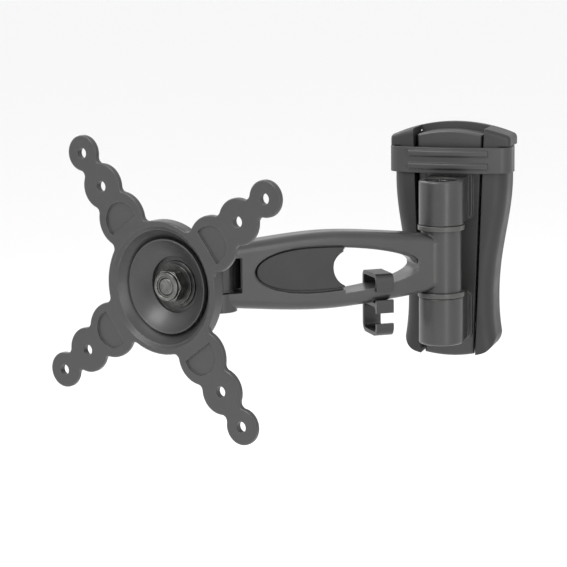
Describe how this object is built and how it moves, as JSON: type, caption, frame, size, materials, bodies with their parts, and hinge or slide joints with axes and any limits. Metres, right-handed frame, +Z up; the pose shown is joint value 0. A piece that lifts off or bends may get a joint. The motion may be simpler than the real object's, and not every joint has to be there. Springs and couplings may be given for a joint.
{
  "type": "full motion tv wall mount",
  "caption": "Small wall bracket with plastic covers, one swivelling arm with cable clip, and a tilting, turning VESA plate on a ball-shaped friction joint.",
  "frame": {"origin": "centre of the wall plate's back face, level with the middle of the arm", "axes": "+Y into the wall, -Y into the room, +X to the right seen from the room, +Z up"},
  "size_m": [0.1916, 0.1567, 0.129],
  "materials": {
    "plate_steel": "satin powder coat",
    "cast_paint": "satin powder coat, smooth",
    "plate_paint": "fine-textured satin powder coat",
    "cover_plastic": "fine moulded grain",
    "band_plastic": "smooth satin",
    "clip_plastic": "smooth satin",
    "black_steel": "black oxide",
    "nut_steel": "dark zinc",
    "bush_plastic": "smooth nylon"
  },
  "bodies": {
    "bracket": {"wall_plate": "plate_steel", "hinge_carrier": "cast_paint", "left_cover": "cover_plastic", "right_cover": "cover_plastic", "cover_band": "band_plastic", "carrier_screws": "black_steel", "arm_pivot_bolt": "black_steel", "arm_pivot_washers": "black_steel", "arm_pivot_nut": "black_steel", "knuckle_cap": "cover_plastic"},
    "arm": {"arm_link": "cast_paint", "upper_arm_bush": "bush_plastic", "lower_arm_bush": "bush_plastic", "front_inlay": "cover_plastic", "rear_inlay": "cover_plastic", "cable_clip": "clip_plastic", "head_pivot_bolt": "black_steel", "head_pivot_nut": "black_steel", "fork_cap": "cover_plastic"},
    "head": {"swivel_block": "cast_paint", "upper_head_bush": "bush_plastic", "lower_head_bush": "bush_plastic", "rear_cup": "cast_paint", "centre_stud": "nut_steel", "front_clamp_disc": "plate_paint", "disc_washer": "black_steel", "spring_washer": "black_steel", "centre_nut": "nut_steel", "nut_insert": "bush_plastic"},
    "tilt_ring": {"tilt_liner": "bush_plastic"},
    "plate": {"vesa_plate": "plate_paint"}
  },
  "joints": [
    {"name": "arm_swivel", "type": "hinge", "parent": "bracket", "child": "arm", "pos_m": [0, -0.035, 0], "axis": [0, 0, 1], "range_deg": [-35, 145]},
    {"name": "head_swivel", "type": "hinge", "parent": "arm", "child": "head", "pos_m": [-0.0883, -0.09683, 0], "axis": [0, 0, 1], "range_deg": [-126.7, 53.3]},
    {"name": "head_tilt", "type": "hinge", "parent": "head", "child": "tilt_ring", "pos_m": [-0.1062, -0.15095, 0], "axis": [0.9494, -0.314, 0], "range_deg": [-15, 15]},
    {"name": "plate_turn", "type": "hinge", "parent": "tilt_ring", "child": "plate", "pos_m": [-0.10149, -0.13671, 0], "axis": [-0.314, -0.9494, 0], "continuous": true}
  ]
}
